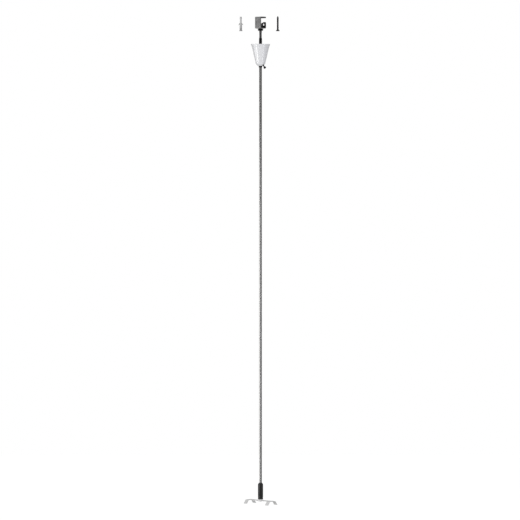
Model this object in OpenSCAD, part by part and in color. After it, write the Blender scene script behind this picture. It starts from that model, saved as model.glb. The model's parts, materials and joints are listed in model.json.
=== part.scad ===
// Rigid rod suspension: ceiling bracket, hanger stud, cone canopy, long pole,
// coupling sleeve and a four-claw track clip, with its own plug and screw beside it.
// Millimetres. +Z is up. Origin: centre of the screw hole on the bracket's top face.

/* [Ceiling bracket] */
// height of the folded bracket
bracket_h = 25.5; // [23.5:0.5:27]
// side of the square plan of the bracket
bracket_w = 16.8; // [15.5:0.1:17]
// thickness of the galvanised sheet
bracket_t = 1.8; // [1.5:0.1:2]
// diameter of the ceiling screw hole
screw_hole_d = 4.6; // [4.2:0.1:5.2]

/* [Pole] */
// outside diameter of the pole
pole_d = 6; // [5.8:0.05:6.1]
// distance from the ceiling face to the foot of the pole
pole_drop = 1010; // [300:5:1500]
// diameter of the hanger stud
stud_d = 5.6; // [5:0.1:5.6]

/* [Canopy] */
// distance from the ceiling face to the canopy rim
canopy_drop = 59; // [59:1:90]
// diameter of the canopy rim
canopy_d = 41.6; // [40:0.2:48]
// height of the canopy shell
canopy_h = 47; // [46:0.5:50]

/* [Coupling sleeve] */
// diameter of the coupling sleeve
sleeve_d = 11.2; // [10:0.1:12]

/* [Track clip] */
// overall length of the clip plate
clip_len = 74; // [66:1:80]
// turn of the clip about the pole
clip_turn = -45; // [-90:5:90]

/* [Hidden] */
$fn = 96;
gap = 0.05;
zinc = [0.62, 0.63, 0.64];
black = [0.06, 0.06, 0.06];
white = [0.93, 0.93, 0.94];
steel = [0.52, 0.52, 0.50];

// height of the bracket's lip above its foot
lip_h = 14;

// ball joint of the hanger stud in the lower flange
ball_r = 4.8;
flange_top = -bracket_h + bracket_t;
pivot_z = flange_top + 4.4;
stud_r = stud_d / 2;

// nut, collar and pole levels
nut_top = -bracket_h - 0.6;
nut_h = 4;
nut_af = 10;
stud_end = -52.5;
collar_top = -46;
pole_top = -58.5;
pole_r = pole_d / 2;
bore_r = 2.2;
spigot_r = 2.5;

// canopy profile
rim_z = -canopy_drop;
floor_z = rim_z - canopy_h;
shoulder_z = floor_z + 4;
canopy_t = 1.4;
rim_r = canopy_d / 2;
shoulder_r = 9.9;
nose_r = 5.9;
neck_r = 4.6;
bush_r = 7.4;
bush_bore_r = 3.4;

// set screw: its axis meets the pole axis here, then runs down and outward
pinch_z = floor_z + 10;
pinch_turn = -48;
pinch_r = 1.4;

// coupling and clip levels
sleeve_top = -pole_drop + 3.6;
sleeve_low = -pole_drop - 28.3;
ring_low = sleeve_low - 3.9;
sleeve_r = sleeve_d / 2;
washer_low = ring_low - 2;
plate_t = 1.2;
plate_low = washer_low - plate_t;
pin_r = 2;
half_len = clip_len / 2;

// folded outline: top flange with a turned-down tip, web, lower flange and lip
module bracket_outline() {
  h = bracket_w / 2;
  i = h - bracket_t;
  low = -bracket_h;
  polygon([[h, -0.5], [h - 0.5, 0], [-h + 1.4, 0], [-h, -1.4], [-h, low + 1.4],
    [-h + 1.4, low], [h - 1.4, low], [h, low + 1.4], [h, low + lip_h],
    [i, low + lip_h], [i, low + 3.2], [i - 1.4, low + bracket_t],
    [-i + 1.4, low + bracket_t], [-i, low + 3.2], [-i, -3.4], [-i + 1.6, -1.8],
    [i - 0.4, -1.8], [i, -3.1], [h, -3.1]]);
}

// window and cut corners of the lip, seen along the flange
module lip_cuts() {
  h = bracket_w / 2;
  top = -bracket_h + lip_h;
  translate([h - bracket_t - 1, 0, 0])
  rotate([90, 0, 90])
  linear_extrude(height = bracket_t + 2) {
    polygon([[-4.5, top - 7.7], [-0.1, top - 7.7], [-0.1, top - 3.5], [-4.5, top - 3.5]]);
    polygon([[-3, top + 1], [-3, top], [h, top - 4], [h + 1, top - 4], [h + 1, top + 1]]);
    polygon([[-h - 1, top + 1], [-h - 1, top - 1.4], [-h, top - 1.4], [-h + 1.4, top],
      [-h + 1.4, top + 1]]);
  }
}

module ceiling_bracket() {
  color(zinc)
  rotate([0, 0, 45])
  difference() {
    rotate([90, 0, 0])
    linear_extrude(height = bracket_w, center = true)
    bracket_outline();
    lip_cuts();
    translate([0, 0, -2.5]) cylinder(r = screw_hole_d / 2, h = 5);
    translate([0, 0, -bracket_h - 1]) cylinder(r = 3.8, h = 4);
  }
}

module ball_seat() {
  color(black)
  difference() {
    translate([0, 0, flange_top]) cylinder(r = 5.1, h = 2.8);
    translate([0, 0, pivot_z]) sphere(r = ball_r + gap);
    translate([0, 0, flange_top - 1]) cylinder(r = 3.55, h = 4);
  }
}

module hanger_stud() {
  color(black) {
    translate([0, 0, pivot_z]) sphere(r = ball_r);
    translate([0, 0, stud_end]) cylinder(r = stud_r, h = pivot_z - stud_end);
  }
}

module lock_nut() {
  color(black)
  translate([0, 0, nut_top - nut_h])
  difference() {
    intersection() {
      cylinder(d = nut_af / cos(30), h = nut_h, $fn = 6);
      rotate_extrude()
      polygon([[0, 0], [5.0, 0], [5.9, 0.6], [5.9, nut_h - 0.6], [5.0, nut_h], [0, nut_h]]);
    }
    translate([0, 0, -1]) cylinder(r = stud_r, h = nut_h + 2);
  }
}

module pole_collar() {
  color(black)
  rotate_extrude()
  polygon([[stud_r + gap, pole_top], [3.3, pole_top], [3.3, -53],
    [3.15, collar_top], [stud_r + gap, collar_top]]);
}

module upper_spigot() {
  color(steel)
  rotate_extrude()
  polygon([[0, pole_top - 15], [bore_r, pole_top - 15], [bore_r, pole_top],
    [stud_r, pole_top], [stud_r, -53.2], [0, -53.2]]);
}

module pole() {
  color(steel)
  difference() {
    translate([0, 0, -pole_drop]) cylinder(r = pole_r, h = pole_drop + pole_top);
    translate([0, 0, -pole_drop - 1]) cylinder(r = bore_r, h = pole_drop + pole_top + 2);
  }
}

module lower_spigot() {
  color(steel)
  rotate_extrude()
  polygon([[0, -pole_drop - 12], [spigot_r, -pole_drop - 12], [spigot_r, -pole_drop],
    [bore_r, -pole_drop], [bore_r, -pole_drop + 15], [0, -pole_drop + 15]]);
}

// line of the pinch screw: local +Z runs outward and down
module on_pinch_line(s) {
  translate([0, 0, pinch_z])
  rotate([0, 0, pinch_turn])
  rotate([0, 135, 0])
  translate([0, 0, s])
  children();
}

module canopy_shell() {
  color(white)
  difference() {
    rotate_extrude()
    polygon([[neck_r, floor_z], [nose_r, floor_z], [shoulder_r, shoulder_z],
      [18.4, rim_z - 6.5], [rim_r, rim_z], [rim_r - 1.3, rim_z],
      [18.4 - canopy_t, rim_z - 6.5], [shoulder_r - canopy_t, shoulder_z + 0.6],
      [shoulder_r - canopy_t, floor_z + 3], [neck_r, floor_z + 3]]);
    on_pinch_line(6) cylinder(r = 1.8, h = 8);
  }
}

module canopy_bush() {
  color(black)
  difference() {
    union() {
      translate([0, 0, floor_z + 3]) cylinder(r = bush_r, h = 8);
      translate([0, 0, floor_z]) cylinder(r = neck_r, h = 4);
      translate([0, 0, floor_z - 3]) cylinder(r = 3.85, h = 4);
    }
    translate([0, 0, floor_z - 5]) cylinder(r = bush_bore_r, h = 20);
    on_pinch_line(2) cylinder(r = pinch_r + 0.08, h = 12);
  }
}

module canopy_screw() {
  color(black)
  on_pinch_line(0)
  difference() {
    rotate_extrude()
    polygon([[0, 9.8], [1.2, 11.2], [pinch_r, 11.4], [pinch_r, 16.8],
      [2.9, 19.6], [2.9, 20.6], [0, 20.6]]);
    translate([-3.5, -0.35, 19.9]) cube([7, 0.7, 2]);
  }
}

module coupling_sleeve() {
  color(black)
  rotate_extrude()
  polygon([[pole_r + 0.08, sleeve_top], [pole_r + 0.5, sleeve_top],
    [sleeve_r, sleeve_top - 3.2], [sleeve_r, sleeve_low],
    [pin_r, sleeve_low], [pin_r, sleeve_low + 11],
    [spigot_r + gap, sleeve_low + 11], [spigot_r + gap, -pole_drop - 0.8],
    [pole_r + 0.08, -pole_drop - 0.8]]);
}

module sleeve_ring() {
  color(black)
  rotate_extrude()
  polygon([[pin_r, ring_low], [sleeve_r - 0.3, ring_low], [sleeve_r, ring_low + 0.4],
    [sleeve_r, sleeve_low - 0.9], [sleeve_r - 0.5, sleeve_low - 0.5],
    [sleeve_r - 0.5, sleeve_low], [pin_r, sleeve_low]]);
}

module clip_screw() {
  color(zinc)
  difference() {
    rotate_extrude()
    polygon([[0, plate_low - 1.3], [3.2, plate_low - 1.3], [3.8, plate_low - 0.7],
      [3.8, plate_low - 0.1], [pin_r, plate_low - 0.1], [pin_r, sleeve_low + 9.5],
      [1.6, sleeve_low + 10], [0, sleeve_low + 10]]);
    translate([0, 0, plate_low - 2]) cylinder(r = 1.15, h = 1.6, $fn = 6);
  }
}

module clip_washer() {
  color(white)
  translate([0, 0, washer_low])
  difference() {
    cylinder(r = 4.6, h = 1.9);
    translate([0, 0, -1]) cylinder(r = pin_r + 0.08, h = 4);
  }
}

// one claw: root on the plate edge, bent down and outward
module claw() {
  translate([-4.5, 0, 0])
  rotate([90, 0, 90])
  linear_extrude(height = 9)
  polygon([[-1, -plate_t], [-0.2, -plate_t], [5.6, -8], [5.9, -8.8], [7.2, -8.8],
    [7, -7.8], [1, -0.4], [0.2, 0], [-1, 0]]);
}

module track_clip() {
  cx = half_len - 4.5;
  color(white)
  translate([0, 0, washer_low])
  rotate([0, 0, clip_turn])
  difference() {
    union() {
      translate([-cx, -5.5, -plate_t]) cube([2 * cx, 11, plate_t]);
      translate([0, 0, -plate_t]) cylinder(r = 8, h = plate_t);
      for (s = [-1, 1]) {
        translate([s * cx - 4.5, -8, -plate_t]) cube([9, 16, plate_t]);
        translate([s * cx, 8, 0]) claw();
        translate([s * cx, -8, 0]) mirror([0, 1, 0]) claw();
      }
    }
    translate([0, 0, -4]) cylinder(r = pin_r + 0.08, h = 8);
  }
}

module wall_plug() {
  color([0.68, 0.68, 0.68])
  translate([-42.4, 0, 0])
  difference() {
    union() {
      rotate_extrude()
      polygon([[0, -31], [3.4, -31], [3.4, -29.6], [2.7, -29], [2.7, -26], [2.3, -19],
        [1.8, -14], [1.8, -4.5], [2.2, -4], [2.2, -2], [1.2, 0], [0, 0]]);
      for (s = [0, 180]) rotate([0, 0, s])
      rotate([90, 0, 0])
      linear_extrude(height = 2.4, center = true)
      polygon([[1.2, -12], [5.1, -17.6], [4.6, -18.6], [1.2, -16]]);
    }
    translate([0, 0, -32]) cylinder(r = 1.3, h = 26);
    translate([-0.4, -4, -24]) cube([0.8, 8, 22.5]);
  }
}

module ceiling_screw() {
  color(black)
  translate([37.2, 0, 0])
  difference() {
    rotate_extrude()
    polygon([[0, -31], [4.1, -31], [4.1, -30.2], [2, -27.4], [2, -2], [0.6, 1.2], [0, 1.2]]);
    for (a = [0, 90]) rotate([0, 0, a])
    translate([-2, -0.45, -32]) cube([4, 0.9, 2.6]);
  }
}

ceiling_bracket();
ball_seat();
hanger_stud();
lock_nut();
pole_collar();
upper_spigot();
pole();
lower_spigot();
canopy_shell();
canopy_bush();
canopy_screw();
coupling_sleeve();
sleeve_ring();
clip_screw();
clip_washer();
track_clip();
wall_plug();
ceiling_screw();
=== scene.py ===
"""Looks of the rod ceiling suspension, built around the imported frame. Metres, +Z up."""

import json
import math

import bmesh
import bpy
from mathutils import Matrix, Vector


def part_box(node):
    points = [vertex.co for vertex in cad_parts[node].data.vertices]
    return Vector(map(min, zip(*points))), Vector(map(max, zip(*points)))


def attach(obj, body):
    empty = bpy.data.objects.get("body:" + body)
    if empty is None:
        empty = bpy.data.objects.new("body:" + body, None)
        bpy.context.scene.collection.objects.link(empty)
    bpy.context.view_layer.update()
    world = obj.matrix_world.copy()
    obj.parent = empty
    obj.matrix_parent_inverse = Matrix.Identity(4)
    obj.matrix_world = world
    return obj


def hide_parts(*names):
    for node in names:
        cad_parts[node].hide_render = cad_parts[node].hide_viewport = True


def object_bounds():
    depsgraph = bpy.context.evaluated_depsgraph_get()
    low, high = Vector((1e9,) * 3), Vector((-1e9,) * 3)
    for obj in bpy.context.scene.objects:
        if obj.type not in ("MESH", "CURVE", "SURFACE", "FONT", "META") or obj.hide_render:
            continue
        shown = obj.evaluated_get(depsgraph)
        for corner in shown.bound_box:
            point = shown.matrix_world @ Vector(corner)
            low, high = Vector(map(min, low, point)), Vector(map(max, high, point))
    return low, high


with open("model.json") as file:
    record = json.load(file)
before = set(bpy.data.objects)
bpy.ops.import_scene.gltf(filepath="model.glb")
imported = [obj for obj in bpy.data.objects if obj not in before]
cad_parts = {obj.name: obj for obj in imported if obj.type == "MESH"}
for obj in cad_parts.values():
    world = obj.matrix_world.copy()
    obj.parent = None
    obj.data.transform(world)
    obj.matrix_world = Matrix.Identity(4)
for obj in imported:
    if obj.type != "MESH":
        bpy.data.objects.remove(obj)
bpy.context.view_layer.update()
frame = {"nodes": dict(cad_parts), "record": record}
MM = 0.001
TAU = 2 * math.pi
LEAST_RADIUS = 1e-6

BRACKET_TURN = math.radians(45)
CLIP_TURN = math.radians(-45)
# slot for the cut-edge material: bare steel of the cut edges, darkened further as painted shade
CUT_EDGE_AND_SHADE_SLOT = 1
# slot for the near-black material that paints shade inside the bracket
PAINTED_SHADE_SLOT = 2

# the canopy screw, measured along its axis from where that meets the pole's
SCREW_TIP = 9.8 * MM
SCREW_END = 20.6 * MM
SCREW_HEAD_RADIUS = 2.9 * MM

CAMERA_AT = (-0.0011, -8.5, -0.3)
CAMERA_AIM = (-0.0011, 0, -0.52465)


# ---------------------------------------------------------------- materials

def new_material(name):
    mat = bpy.data.materials.new(name)
    mat.use_nodes = True
    nodes, links = mat.node_tree.nodes, mat.node_tree.links
    return mat, nodes, links, nodes["Principled BSDF"]


def object_coords(nodes, links, stretch):
    coords = nodes.new("ShaderNodeTexCoord")
    mapping = nodes.new("ShaderNodeMapping")
    mapping.inputs["Scale"].default_value = stretch
    links.new(coords.outputs["Object"], mapping.inputs["Vector"])
    return mapping.outputs["Vector"]


def noise(nodes, links, vector, scale, detail=4.0):
    tex = nodes.new("ShaderNodeTexNoise")
    tex.inputs["Scale"].default_value = scale
    tex.inputs["Detail"].default_value = detail
    links.new(vector, tex.inputs["Vector"])
    return tex.outputs["Fac"]


def ramp(nodes, links, factor, low, high, at=(0.3, 0.7)):
    node = nodes.new("ShaderNodeValToRGB")
    node.color_ramp.elements[0].position, node.color_ramp.elements[1].position = at
    node.color_ramp.elements[0].color = (*low, 1)
    node.color_ramp.elements[1].color = (*high, 1)
    links.new(factor, node.inputs["Fac"])
    return node.outputs["Color"]


def spread(nodes, links, factor, low, high):
    node = nodes.new("ShaderNodeMapRange")
    node.inputs["To Min"].default_value = low
    node.inputs["To Max"].default_value = high
    links.new(factor, node.inputs["Value"])
    return node.outputs["Result"]


def edge_wear_and_shade(nodes, links, colour, edge_colour, amount):
    """Mixes another colour in where the surface is convex: lighter for worn edges, darker as painted shade
    along edges and folds.
    """
    geometry = nodes.new("ShaderNodeNewGeometry")
    edge = nodes.new("ShaderNodeMapRange")
    edge.inputs["From Min"].default_value = 0.53
    edge.inputs["From Max"].default_value = 0.62
    edge.inputs["To Max"].default_value = amount
    links.new(geometry.outputs["Pointiness"], edge.inputs["Value"])
    mix = nodes.new("ShaderNodeMix")
    mix.data_type = "RGBA"
    mix.inputs["B"].default_value = (*edge_colour, 1)
    links.new(edge.outputs["Result"], mix.inputs["Factor"])
    links.new(colour, mix.inputs["A"])
    return mix.outputs["Result"]


def finish_material(name, low, high, metallic, rough, scale, stretch=(1, 1, 1), bump=0.05,
                    depth=0.00005, wear_and_shade=None, coat=0.0, spangle=0.0, specular=0.5):
    """One finish: two-tone grain, roughness that varies with it, fine bump, and an edge tint, lighter for
    worn edges and darker where it paints shade.
    """
    mat, nodes, links, shader = new_material(name)
    vector = object_coords(nodes, links, stretch)
    grain = noise(nodes, links, vector, scale)
    broad = noise(nodes, links, object_coords(nodes, links, (1, 1, 1)), scale * 0.07, 2.0)
    mixed = nodes.new("ShaderNodeMath")
    mixed.operation = "ADD"
    mixed.use_clamp = True
    scaled = spread(nodes, links, broad, -0.25, 0.25)
    links.new(grain, mixed.inputs[0])
    links.new(scaled, mixed.inputs[1])
    pattern = mixed.outputs["Value"]
    if spangle:
        cells = nodes.new("ShaderNodeTexVoronoi")
        cells.inputs["Scale"].default_value = spangle
        links.new(object_coords(nodes, links, (1, 1, 1)), cells.inputs["Vector"])
        split = nodes.new("ShaderNodeSeparateColor")
        links.new(cells.outputs["Color"], split.inputs["Color"])
        blend = nodes.new("ShaderNodeMath")
        blend.operation = "MULTIPLY_ADD"
        blend.inputs[1].default_value = 0.45
        links.new(split.outputs["Red"], blend.inputs[0])
        links.new(spread(nodes, links, pattern, 0.1, 0.55), blend.inputs[2])
        pattern = blend.outputs["Value"]
    colour = ramp(nodes, links, pattern, low, high)
    if wear_and_shade:
        colour = edge_wear_and_shade(nodes, links, colour, *wear_and_shade)
    links.new(colour, shader.inputs["Base Color"])
    links.new(spread(nodes, links, pattern, rough[0], rough[1]), shader.inputs["Roughness"])
    shader.inputs["Metallic"].default_value = metallic
    shader.inputs["Specular IOR Level"].default_value = specular
    shader.inputs["Coat Weight"].default_value = coat
    shader.inputs["Coat Roughness"].default_value = 0.06
    relief = nodes.new("ShaderNodeBump")
    relief.inputs["Strength"].default_value = bump
    relief.inputs["Distance"].default_value = depth
    links.new(grain, relief.inputs["Height"])
    links.new(relief.outputs["Normal"], shader.inputs["Normal"])
    return mat


def grey(value, warm=0.0):
    return (value * (1 + warm), value, value * (1 - warm))


FINISH = {
    # galvanised_sheet: its edge colour is darker than the face, painted shade along the bracket's edges and
    # folds
    "galvanised_sheet": finish_material("galvanised_sheet", grey(0.24), grey(0.38), 0.6, (0.42, 0.58),
                                        900, bump=0.25, wear_and_shade=((0.12, 0.12, 0.12), 0.6), spangle=420),
    "turned_steel": finish_material("turned_steel", grey(0.05), grey(0.14), 0.9, (0.28, 0.42),
                                    1200, (1, 1, 5), 0.15, wear_and_shade=((0.4, 0.4, 0.4), 0.6)),
    "black_hardware": finish_material("black_hardware", grey(0.002), grey(0.006), 0.0, (0.4, 0.55),
                                      1500, bump=0.12, wear_and_shade=((0.05, 0.05, 0.05), 0.5), specular=0.16),
    "pole_steel": finish_material("pole_steel", grey(0.30, 0.01), grey(0.36, 0.01), 1.0, (0.24, 0.3),
                                  500, (1, 1, 0.02), 0.03, wear_and_shade=((0.5, 0.5, 0.5), 0.1)),
    "white_canopy": finish_material("white_canopy", (0.82, 0.825, 0.845), (0.85, 0.855, 0.875), 0.0,
                                    (0.1, 0.14), 260, bump=0.012, wear_and_shade=((0.85, 0.85, 0.86), 0.3),
                                    coat=0.6),
    "black_plastic": finish_material("black_plastic", grey(0.006), grey(0.014), 0.0, (0.45, 0.65),
                                     1800, bump=0.2, wear_and_shade=((0.05, 0.05, 0.05), 0.4), specular=0.3),
    "black_coating": finish_material("black_coating", grey(0.005, 0.03), grey(0.012, 0.03), 0.0,
                                     (0.28, 0.38), 1600, bump=0.12, wear_and_shade=((0.1, 0.1, 0.095), 0.6),
                                     specular=0.4),
    "white_plastic": finish_material("white_plastic", grey(0.78), grey(0.86), 0.0, (0.35, 0.5),
                                     700, bump=0.08, wear_and_shade=((0.9, 0.9, 0.9), 0.3)),
    "white_sheet": finish_material("white_sheet", grey(0.5), grey(0.58), 0.0, (0.25, 0.38), 500,
                                   bump=0.08, wear_and_shade=((0.75, 0.75, 0.75), 0.3), coat=0.2),
    "grey_plastic": finish_material("grey_plastic", grey(0.3), grey(0.38), 0.0, (0.4, 0.58), 900,
                                    bump=0.15, wear_and_shade=((0.55, 0.55, 0.55), 0.4)),
}
# Cut edges of the sheet: bare steel, darker than the zinc, and darkened further as painted shade.
CUT_EDGE_AND_SHADE = finish_material("sheared_edge_and_painted_shade", grey(0.09), grey(0.17), 0.5, (0.45, 0.65), 1300,
                               (1, 1, 0.3), 0.3, wear_and_shade=((0.25, 0.25, 0.25), 0.3))
# Near-black painted shade for the bracket lip's inner face and the top flange's underside, which lie in the
# sheet's shadow.
PAINTED_SHADE_INSIDE = finish_material("painted_shade_inside", grey(0.008), grey(0.03), 0.0, (0.5, 0.7), 700,
                              (1, 1, 1), 0.25, wear_and_shade=((0.1, 0.1, 0.1), 0.4), specular=0.3)
DARK_STUD = finish_material("dark_stud", grey(0.07), grey(0.13), 0.6, (0.3, 0.42), 1300,
                            (1, 1, 4), 0.12, wear_and_shade=((0.22, 0.22, 0.22), 0.5))

for part in frame["record"]["subparts"]:
    slots = frame["nodes"][part["node"]].material_slots
    for material_slot in slots:
        material_slot.material = FINISH[part["material_slot"]]


# ---------------------------------------------------------------- mesh tools

def add_piece(name, mesh, slot_name, body, nodes, material=None):
    mesh.materials.append(material or FINISH[slot_name])
    piece = bpy.data.objects.new(name, mesh)
    bpy.context.scene.collection.objects.link(piece)
    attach(piece, body)
    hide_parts(*nodes)
    return piece


def shade(mesh, angle=math.radians(32)):
    """Smooth shading with sharp edges kept where faces meet steeply."""
    bm = bmesh.new()
    bm.from_mesh(mesh)
    bmesh.ops.recalc_face_normals(bm, faces=bm.faces)
    for face in bm.faces:
        face.smooth = True
    for edge in bm.edges:
        edge.smooth = len(edge.link_faces) == 2 and edge.calc_face_angle(0) < angle
    bm.to_mesh(mesh)
    bm.free()


def surface(name, rings, closed=False):
    """Skins rings of points. Open stacks get end caps; closed ones join end to start."""
    bm = bmesh.new()
    rows = [[bm.verts.new(Vector(p)) for p in ring] for ring in rings]
    pairs = list(zip(rows, rows[1:] + rows[:1])) if closed else list(zip(rows, rows[1:]))
    count = len(rows[0])
    for low, high in pairs:
        for k in range(count):
            n = (k + 1) % count
            bm.faces.new((low[k], low[n], high[n], high[k]))
    if not closed:
        bm.faces.new(rows[0])
        bm.faces.new(rows[-1])
    mesh = bpy.data.meshes.new(name)
    bm.to_mesh(mesh)
    bm.free()
    shade(mesh)
    return mesh


def circle(radius, z, segments):
    """One ring of points; radius is a number or a function of the angle."""
    points = []
    for k in range(segments):
        a = TAU * k / segments
        r = radius(a) if callable(radius) else radius
        points.append((r * math.cos(a), r * math.sin(a), z))
    return points


def threaded(low, high, outer, depth, pitch, segments, steps=6):
    """Rings of a screw thread between two heights, fading in and out over half a turn."""
    count = max(2, int((high - low) / pitch * steps))
    rings = []
    for i in range(count + 1):
        z = low + (high - low) * i / count
        fade = min(1, (z - low) / pitch * 2, (high - z) / pitch * 2)

        def radius(a, z=z, fade=fade):
            phase = (z / pitch - a / TAU) % 1
            return outer - depth * max(0, fade) * abs(2 * phase - 1)

        rings.append(circle(radius, z, segments))
    return rings


def rounded(points, radius, steps=5):
    """A profile whose inner corners are replaced by short arcs."""
    made = [Vector(points[0])]
    for before, here, after in zip(points, points[1:], points[2:]):
        here, before, after = Vector(here), Vector(before), Vector(after)
        reach = min(radius, (here - before).length * 0.45, (after - here).length * 0.45)
        start = here + (before - here).normalized() * reach
        end = here + (after - here).normalized() * reach
        for i in range(steps + 1):
            t = i / steps
            made.append(start * (1 - t) ** 2 + here * 2 * t * (1 - t) + end * t ** 2)
    made.append(Vector(points[-1]))
    return made


def cut(mesh, cutters):
    """Takes closed meshes out of another one."""
    target = bpy.data.objects.new("cut_target", mesh)
    bpy.context.scene.collection.objects.link(target)
    tools = []
    for i, (tool_mesh, operation) in enumerate(cutters):
        tool = bpy.data.objects.new(f"cut_tool_{i}", tool_mesh)
        bpy.context.scene.collection.objects.link(tool)
        modifier = target.modifiers.new(f"cut_{i}", "BOOLEAN")
        modifier.operation = operation
        modifier.solver = "EXACT"
        modifier.object = tool
        tools.append(tool)
    bpy.context.view_layer.update()
    evaluated = target.evaluated_get(bpy.context.evaluated_depsgraph_get())
    made = bpy.data.meshes.new_from_object(evaluated)
    for thing in tools + [target]:
        bpy.data.objects.remove(thing)
    made.materials.clear()
    shade(made)
    return made


def lathe(name, profile, segments, closed=False):
    """Turns a profile of (radius, height) points about the local Z axis."""
    rings = [circle(max(radius, LEAST_RADIUS), z, segments) for radius, z in profile]
    return surface(name, rings, closed)


def drill(radius, low, high, segments=48):
    """An upright round cutter on the Z axis, for cut()."""
    mesh = lathe("drill", [(radius, low), (radius, high)], segments)
    return (mesh, "DIFFERENCE")


def block(name, z, sides):
    """A cutter: a box centred on the Z axis at a height."""
    mesh = bpy.data.meshes.new(name)
    bm = bmesh.new()
    bmesh.ops.create_cube(bm, size=1, matrix=Matrix.Translation((0, 0, z)) @ Matrix.Diagonal((*sides, 1)))
    bm.to_mesh(mesh)
    bm.free()
    return mesh


def sheet_strip(name, path, thickness, half_width):
    """A strip of sheet that follows a bent centre line in X and Z, extruded along Y."""
    rings = []
    for i, point in enumerate(path):
        before, after = path[max(i - 1, 0)], path[min(i + 1, len(path) - 1)]
        along = (after - before).normalized()
        side = Vector((-along[1], along[0])) * thickness / 2
        a, b = point + side, point - side
        rings.append([(a[0], -half_width, a[1]), (a[0], half_width, a[1]),
                      (b[0], half_width, b[1]), (b[0], -half_width, b[1])])
    return surface(name, rings)


def soften(piece, name, width):
    """Rounds a piece's sharp edges slightly."""
    bevel = piece.modifiers.new(name, "BEVEL")
    bevel.width = width
    bevel.segments = 2
    bevel.limit_method = "ANGLE"
    bevel.angle_limit = math.radians(50)


def size(node):
    """A CAD node's lowest and highest corner."""
    low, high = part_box(node)
    return Vector(low), Vector(high)


# ---------------------------------------------------------------- ceiling bracket

def prism(name, outline, low, high):
    """A closed block: an outline in Y and Z, run along X."""
    return surface(name, [[(x, y, z) for y, z in outline] for x in (low, high)])


def rounded_box(left, right, low, high, radius, steps=5):
    """The outline of an upright rectangle with round corners."""
    points = []
    for x, y, start in ((right, high, 0), (left, high, 1), (left, low, 2), (right, low, 3)):
        cx = x - math.copysign(radius, x - (left + right) / 2)
        cy = y - math.copysign(radius, y - (low + high) / 2)
        for i in range(steps + 1):
            a = (start + i / steps) * math.pi / 2
            points.append((cx + radius * math.cos(a), cy + radius * math.sin(a)))
    return points


def build_bracket():
    low, high = size("ceiling_bracket")
    half = (high.x - low.x) / 2 / math.sqrt(2)
    foot, sheet = low.z, 1.8 * MM
    c = sheet / 2
    lip_top = foot + 14 * MM
    path = rounded([(half - c, -3.1 * MM), (half - c, -c), (-half + c, -c), (-half + c, foot + c),
                    (half - c, foot + c), (half - c, lip_top)], 1.6 * MM, 6)
    mesh = sheet_strip("ceiling_bracket_folded", path, sheet, half)
    lip_span = (half - sheet - 1 * MM, half + 1 * MM)
    window = rounded_box(-4.5 * MM, -0.1 * MM, lip_top - 7.7 * MM, lip_top - 3.5 * MM, 0.7 * MM)
    above = lip_top + 1 * MM
    slope = [(-3 * MM, above), (-3 * MM, lip_top), (half, lip_top - 4 * MM),
             (half + 1 * MM, lip_top - 4 * MM), (half + 1 * MM, above)]
    corner = [(-half - 1 * MM, above), (-half - 1 * MM, lip_top - 1.4 * MM), (-half, lip_top - 1.4 * MM),
              (-half + 1.4 * MM, lip_top), (-half + 1.4 * MM, above)]
    cutters = [drill(2.3 * MM, -2.6 * MM, 1 * MM),
               drill(3.8 * MM, foot - 1 * MM, foot + 2.6 * MM)]
    cutters += [(prism("lip_cut", shape, *lip_span), "DIFFERENCE") for shape in (window, slope, corner)]
    mesh = cut(mesh, cutters)
    mesh.transform(Matrix.Rotation(BRACKET_TURN, 4, "Z"))
    piece = add_piece("ceiling_bracket_folded", mesh, "galvanised_sheet", "ceiling", ["ceiling_bracket"])
    mesh.materials.append(CUT_EDGE_AND_SHADE)
    mesh.materials.append(PAINTED_SHADE_INSIDE)
    across = Vector((-math.sin(BRACKET_TURN), math.cos(BRACKET_TURN), 0))
    along = Vector((math.cos(BRACKET_TURN), math.sin(BRACKET_TURN), 0))
    for face in mesh.polygons:
        distance = face.center.dot(along)
        on_lip = distance > half - sheet - 0.1 * MM and face.center.z < -8 * MM
        under_flange = face.normal.z < -0.7 and face.center.z > -2.5 * MM
        # painted shade: faces inside the lip and under the top flange take the near-black material
        if (on_lip and face.normal.dot(along) < 0.5) or under_flange:
            face.material_index = PAINTED_SHADE_SLOT
        # the cut side faces: darker bare steel, partly painted shade
        elif abs(face.normal.dot(across)) > 0.9:
            face.material_index = CUT_EDGE_AND_SHADE_SLOT
    soften(piece, "worn_edge", 0.25 * MM)
    return piece


# ---------------------------------------------------------------- hanger and nut

def build_stud():
    low, high = size("hanger_stud")
    ball = (high.x - low.x) / 2
    centre = high.z - ball
    outer = 2.8 * MM
    rings = [circle(outer - 0.4 * MM, low.z, 48), circle(outer - 0.05 * MM, low.z + 0.4 * MM, 48)]
    rings += threaded(low.z + 0.5 * MM, -34 * MM, outer, 0.3 * MM, 0.8 * MM, 48)
    neck = math.asin(outer / ball)
    rings += [circle(outer, -33.8 * MM, 48)]
    for i in range(25):
        a = neck + (math.pi - 0.12 - neck) * i / 24
        rings.append(circle(ball * math.sin(a), centre - ball * math.cos(a), 48))
    return add_piece("hanger_stud_threaded", surface("hanger_stud_threaded", rings), "black_hardware",
                     "hanger", ["hanger_stud"], DARK_STUD)


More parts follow.
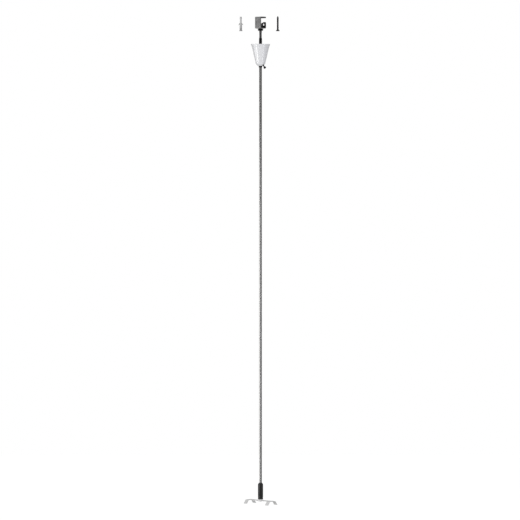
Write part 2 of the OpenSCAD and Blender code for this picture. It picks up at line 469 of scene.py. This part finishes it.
def build_nut():
    low, high = size("lock_nut")
    flat = (high.y - low.y) / 2
    corner = flat / math.cos(math.pi / 6) - 0.05 * MM
    height = high.z - low.z

    def hexagon(limit):
        def radius(a):
            return min(flat / math.cos(a % (math.pi / 3) - math.pi / 6), limit)
        return radius

    rings = []
    for share in (0, 0.04, 0.08, 0.12, 0.88, 0.92, 0.96, 1):
        edge = min(share, 1 - share) / 0.12
        limit = flat * 0.97 + (corner - flat * 0.97) * min(1, edge) ** 0.6
        rings.append(circle(hexagon(limit), low.z + height * share, 144))
    rings += [circle(3.2 * MM, high.z, 144), circle(2.82 * MM, high.z - 0.4 * MM, 144),
              circle(2.82 * MM, low.z + 0.4 * MM, 144), circle(3.2 * MM, low.z, 144)]
    return add_piece("lock_nut_chamfered", surface("lock_nut_chamfered", rings, closed=True),
                     "black_hardware", "hanger", ["lock_nut"])


# ---------------------------------------------------------------- canopy

def pinch_frame():
    """The canopy screw's axis, which meets the pole's: local +Z runs along it, outward and down."""
    joint = next(j for j in frame["record"]["behaviour"]["joints"] if j["name"] == "canopy_screw_drive")
    outward = -Vector(joint["axis"])
    shell_low, shell_high = size("canopy_shell")
    lowest = size("canopy_screw")[0].z
    start = (shell_low + shell_high) / 2
    # the rim of the head is the lowest point of the screw
    start.z = lowest - outward.z * SCREW_END + math.hypot(outward.x, outward.y) * SCREW_HEAD_RADIUS
    return Matrix.Translation(start) @ outward.to_track_quat("Z", "Y").to_matrix().to_4x4()


def build_canopy():
    low, high = size("canopy_shell")
    rim, floor = high.z, low.z
    outer = (high.x - low.x) / 2
    wall = 1.4 * MM
    shoulder = (9.9 * MM, floor + 4 * MM)
    flare = (18.2 * MM, rim - 7.2 * MM)
    outside = rounded([(4.7 * MM, floor), (5.9 * MM, floor), shoulder, flare,
                       (outer - 0.35 * MM, rim - 1.2 * MM), (outer - 0.2 * MM, rim)], 1.4 * MM)
    inside = rounded([(outer - 0.9 * MM, rim), (flare[0] - wall, flare[1]),
                      (shoulder[0] - wall, shoulder[1] + 0.8 * MM),
                      (shoulder[0] - wall, floor + 3 * MM), (4.7 * MM, floor + 3 * MM)], 1.0 * MM)
    lip = [Vector((outer, rim - 0.35 * MM)), Vector((outer - 0.1 * MM, rim - 0.08 * MM)),
           Vector((outer - 0.3 * MM, rim)), Vector((outer - 0.9 * MM, rim))]
    profile = outside[:-1] + lip + inside[1:]
    mesh = lathe("canopy_shell_spun", profile, 128, closed=True)
    hole, operation = drill(1.8 * MM, 6 * MM, 16 * MM, 40)
    hole.transform(pinch_frame())
    mesh = cut(mesh, [(hole, operation)])
    return add_piece("canopy_shell_spun", mesh, "white_canopy", "canopy", ["canopy_shell"])


def build_canopy_screw():
    place = pinch_frame()
    rings = [circle(0.02 * MM, SCREW_TIP, 40), circle(1.15 * MM, 11.2 * MM, 40)]
    rings += threaded(11.3 * MM, 16.6 * MM, 1.4 * MM, 0.25 * MM, 0.5 * MM, 40)
    rings += [circle(1.45 * MM, 16.9 * MM, 40), circle(2.75 * MM, 19.2 * MM, 40),
              circle(2.88 * MM, 19.5 * MM, 40), circle(2.88 * MM, 20.3 * MM, 40),
              circle(2.7 * MM, 20.55 * MM, 40), circle(0.3 * MM, SCREW_END, 40)]
    mesh = surface("canopy_screw_threaded", rings)
    slot_mesh = block("slot_tool", 20.9 * MM, (7 * MM, 0.7 * MM, 2 * MM))
    mesh = cut(mesh, [(slot_mesh, "DIFFERENCE")])
    mesh.transform(place)
    return add_piece("canopy_screw_threaded", mesh, "black_hardware", "canopy_screw", ["canopy_screw"])


# ---------------------------------------------------------------- coupling and clip

def build_sleeve():
    low, high = size("coupling_sleeve")
    r = (high.x - low.x) / 2
    profile = rounded([(2.1 * MM, low.z), (r - 0.3 * MM, low.z), (r, low.z + 0.5 * MM),
                       (r, low.z + 2.6 * MM), (r - 0.25 * MM, low.z + 3.1 * MM),
                       (r, low.z + 3.6 * MM), (r, high.z - 3.3 * MM),
                       (3.55 * MM, high.z - 0.1 * MM), (3.15 * MM, high.z - 0.1 * MM),
                       (3.12 * MM, high.z - 4.3 * MM)], 0.5 * MM, 4)
    profile += [Vector((2.6 * MM, high.z - 4.5 * MM)), Vector((2.6 * MM, low.z + 11 * MM)),
                Vector((2.1 * MM, low.z + 10.9 * MM))]
    return add_piece("coupling_sleeve_turned", lathe("coupling_sleeve_turned", profile, 96, closed=True),
                     "black_coating", "coupling", ["coupling_sleeve"])


def build_clip():
    top = size("track_clip")[1].z
    cross = 32.5 * MM
    sheet = 1.2 * MM
    c = sheet / 2
    claw = rounded([(-14.6 * MM, -8.2 * MM), (-13.9 * MM, -8.2 * MM), (-8.2 * MM, -c),
                    (8.2 * MM, -c), (13.9 * MM, -8.2 * MM), (14.6 * MM, -8.2 * MM)], 1.1 * MM)
    bars = []
    for side in (-1, 1):
        bar = sheet_strip("clip_bar", claw, sheet, 4.5 * MM)
        bar.transform(Matrix.Translation((side * cross, 0, 0)) @ Matrix.Rotation(math.pi / 2, 4, "Z"))
        bars.append(bar)
    strip = []
    waist, boss = 5.5 * MM, 8 * MM
    count = 48
    for i in range(count + 1):
        x = -cross + 2 * cross * i / count
        bulge = boss ** 2 - x ** 2
        w = max(waist, math.sqrt(bulge)) if bulge > 0 else waist
        strip.append([(x, -w, 0), (x, w, 0), (x, w, -sheet), (x, -w, -sheet)])
    mesh = surface("track_clip_pressed", strip)
    mesh = cut(mesh, [(bar, "UNION") for bar in bars] + [drill(2.1 * MM, -4 * MM, 4 * MM)])
    mesh.transform(Matrix.Translation((0, 0, top)) @ Matrix.Rotation(CLIP_TURN, 4, "Z"))
    piece = add_piece("track_clip_pressed", mesh, "white_sheet", "clip", ["track_clip"])
    soften(piece, "rolled_edge", 0.15 * MM)
    return piece


# ---------------------------------------------------------------- loose plug and screw

def build_plug():
    low, high = size("wall_plug")
    middle = (low + high) / 2
    rings = []
    profile = [(3.3, -31), (3.4, -30.8), (3.4, -29.8), (2.75, -29.1)]
    ribs = [(2.35 + 0.35 * (i % 2), -28.8 + 0.62 * i) for i in range(16)]
    profile += ribs + [(2.2, -18.6), (1.85, -14), (1.8, -4.6), (2.15, -4), (2.2, -2.2),
                       (1.3, -0.15), (0.3, 0)]
    for r, z in profile:
        rings.append(circle(r * MM, z * MM, 48))
    mesh = surface("wall_plug_ribbed", rings)
    wings = []
    for side in (0, math.pi):
        outline = [(1.0, -11.6), (5.0, -17.4), (5.05, -18.0), (4.6, -18.5), (1.0, -15.6)]
        wing = surface("wing", [[(x * MM, y * MM, z * MM) for x, z in outline] for y in (-1.1, 1.1)])
        wing.transform(Matrix.Rotation(side, 4, "Z"))
        wings.append((wing, "UNION"))
    gap_mesh = surface("gap", [[(x * MM, y * MM, z * MM) for x, y in
                                ((-0.35, -4), (0.35, -4), (0.35, 4), (-0.35, 4))] for z in (-24, -1.6)])
    mesh = cut(mesh, wings + [drill(1.3 * MM, -32 * MM, -6 * MM, 32), (gap_mesh, "DIFFERENCE")])
    mesh.transform(Matrix.Translation((middle.x, middle.y, 0)))
    return add_piece("wall_plug_ribbed", mesh, "grey_plastic", "wall_plug", ["wall_plug"])


def build_ceiling_screw():
    low, high = size("ceiling_screw")
    middle = (low + high) / 2
    rings = [circle(0.3 * MM, low.z, 48), circle(3.8 * MM, low.z, 48),
             circle(4.05 * MM, low.z + 0.3 * MM, 48),
             circle(4.05 * MM, low.z + 0.8 * MM, 48), circle(1.85 * MM, low.z + 3.6 * MM, 48),
             circle(1.7 * MM, low.z + 4.2 * MM, 48), circle(1.7 * MM, low.z + 6 * MM, 48)]
    rings += threaded(low.z + 6.2 * MM, -2.2 * MM, 2.0 * MM, 0.35 * MM, 1.5 * MM, 48, 8)
    rings += [circle(1.8 * MM, -1.9 * MM, 48), circle(0.62 * MM, high.z - 0.1 * MM, 48),
              circle(0.3 * MM, high.z - 0.02 * MM, 48)]
    mesh = surface("ceiling_screw_threaded", rings)
    arms = []
    for turn in (0, math.pi / 2):
        tool = block("recess", low.z + 0.6 * MM, (4 * MM, 0.9 * MM, 2.6 * MM))
        tool.transform(Matrix.Rotation(turn, 4, "Z"))
        arms.append((tool, "DIFFERENCE"))
    mesh = cut(mesh, arms)
    mesh.transform(Matrix.Translation((middle.x, middle.y, 0)))
    return add_piece("ceiling_screw_threaded", mesh, "black_hardware", "ceiling_screw", ["ceiling_screw"])


build_bracket()
build_stud()
build_nut()
build_canopy()
build_canopy_screw()
build_sleeve()
build_clip()
build_plug()
build_ceiling_screw()


# ---------------------------------------------------------------- stage, light, camera

def build_stage():
    """A pale floor well below the hanging clip, and a soft studio."""
    low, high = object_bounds()
    mesh = bpy.data.meshes.new("studio_floor")
    bm = bmesh.new()
    reach, level = 6.0, low.z - 0.35
    corners = [(-reach, -reach, level), (reach, -reach, level), (reach, reach, level), (-reach, reach, level)]
    bm.faces.new([bm.verts.new(c) for c in corners])
    bm.to_mesh(mesh)
    bm.free()
    mat, nodes, links, shader = new_material("studio_floor")
    tone = ramp(nodes, links, noise(nodes, links, object_coords(nodes, links, (1, 1, 1)), 3),
                grey(0.9), grey(0.92))
    links.new(tone, shader.inputs["Base Color"])
    shader.inputs["Roughness"].default_value = 0.9
    shader.inputs["Emission Color"].default_value = (1, 1, 1, 1)
    shader.inputs["Emission Strength"].default_value = 0.45
    mesh.materials.append(mat)
    floor = bpy.data.objects.new("studio_floor", mesh)
    bpy.context.scene.collection.objects.link(floor)
    floor.visible_diffuse = False
    floor.visible_glossy = False


def build_world():
    """White where the camera looks; a grey studio with lighter sides for what it lights."""
    world = bpy.data.worlds.new("studio")
    bpy.context.scene.world = world
    world.use_nodes = True
    nodes, links = world.node_tree.nodes, world.node_tree.links
    nodes.clear()
    out = nodes.new("ShaderNodeOutputWorld")
    seen = nodes.new("ShaderNodeBackground")
    seen.inputs["Color"].default_value = (1, 1, 1, 1)
    seen.inputs["Strength"].default_value = 1.0
    lighting = nodes.new("ShaderNodeBackground")
    coords = nodes.new("ShaderNodeTexCoord")
    parts = nodes.new("ShaderNodeSeparateXYZ")
    links.new(coords.outputs["Generated"], parts.inputs["Vector"])
    depth = nodes.new("ShaderNodeMapRange")
    depth.inputs["From Min"].default_value = -1
    links.new(parts.outputs["Y"], depth.inputs["Value"])
    panorama = nodes.new("ShaderNodeValToRGB")
    stops = panorama.color_ramp.elements
    stops[0].position, stops[0].color = 0.0, (*grey(0.38), 1)
    stops[1].position, stops[1].color = 1.0, (*grey(0.5), 1)
    for position, value in ((0.25, 0.32), (0.40, 0.14), (0.50, 0.16), (0.65, 0.4)):
        stops.new(position).color = (*grey(value), 1)
    links.new(depth.outputs["Result"], panorama.inputs["Fac"])
    sky = nodes.new("ShaderNodeMapRange")
    sky.inputs["From Min"].default_value = 0
    sky.inputs["To Max"].default_value = 0.7
    links.new(parts.outputs["Z"], sky.inputs["Value"])
    total = nodes.new("ShaderNodeMath")
    total.operation = "ADD"
    links.new(panorama.outputs["Color"], total.inputs[0])
    links.new(sky.outputs["Result"], total.inputs[1])
    level = total.outputs["Value"]
    links.new(level, lighting.inputs["Strength"])
    path = nodes.new("ShaderNodeLightPath")
    mix = nodes.new("ShaderNodeMixShader")
    links.new(path.outputs["Is Camera Ray"], mix.inputs["Fac"])
    links.new(lighting.outputs["Background"], mix.inputs[1])
    links.new(seen.outputs["Background"], mix.inputs[2])
    links.new(mix.outputs["Shader"], out.inputs["Surface"])


def strip_light(name, azimuth, distance, width, height, radiance, centre_z, mirrored=True,
                soft=True, colour=(1, 1, 1)):
    """A tall soft box facing the pole; azimuth is measured from the viewer toward +X."""
    a = math.radians(azimuth)
    data = bpy.data.lights.new(name, "AREA")
    data.shape = "RECTANGLE"
    data.size, data.size_y = width, height
    data.energy = radiance * math.pi * width * height
    data.color = colour
    lamp = bpy.data.objects.new(name, data)
    lamp.location = (distance * math.sin(a), -distance * math.cos(a), centre_z)
    toward = Vector((-lamp.location.x, -lamp.location.y, 0))
    lamp.rotation_euler = toward.to_track_quat("-Z", "Y").to_euler()
    lamp.visible_camera = False
    lamp.visible_glossy = mirrored
    lamp.visible_diffuse = soft
    bpy.context.scene.collection.objects.link(lamp)


def bounce_light():
    """Pale floor light thrown back up at undersides."""
    data = bpy.data.lights.new("floor_bounce", "AREA")
    data.size = 1.5
    data.energy = 0.7 * math.pi * data.size ** 2
    lamp = bpy.data.objects.new("floor_bounce", data)
    lamp.location = (0, -0.4, -1.38)
    lamp.rotation_euler = (math.pi, 0, 0)
    lamp.visible_camera = False
    lamp.visible_glossy = False
    bpy.context.scene.collection.objects.link(lamp)


def build_camera():
    """A long lens on a level with the upper pole, so the clip is seen from a little above."""
    data = bpy.data.cameras.new("camera")
    data.lens = 272.64
    data.clip_end = 40
    camera = bpy.data.objects.new("camera", data)
    camera.location = CAMERA_AT
    toward = Vector(CAMERA_AIM) - camera.location
    camera.rotation_euler = toward.to_track_quat("-Z", "Y").to_euler()
    bpy.context.scene.collection.objects.link(camera)
    bpy.context.scene.camera = camera


build_stage()
build_world()
strip_light("strip_left", -60, 1.6, 0.32, 0.95, 4.2, -0.78, colour=(1, 1, 0.985))
strip_light("strip_right", 46, 1.6, 0.25, 0.95, 2.8, -0.78, colour=(0.94, 0.94, 1))
strip_light("panel_left", -75, 1.6, 1.85, 0.95, 2.0, -0.78, soft=False)
strip_light("front_soft", -25, 2.2, 1.4, 2.2, 2.2, -0.3, mirrored=False)
strip_light("fill_right", 70, 2.2, 1.4, 2.2, 1.1, -0.3, mirrored=False, colour=(0.95, 0.95, 1))
bounce_light()
build_camera()
bpy.context.scene.view_settings.view_transform = "Standard"
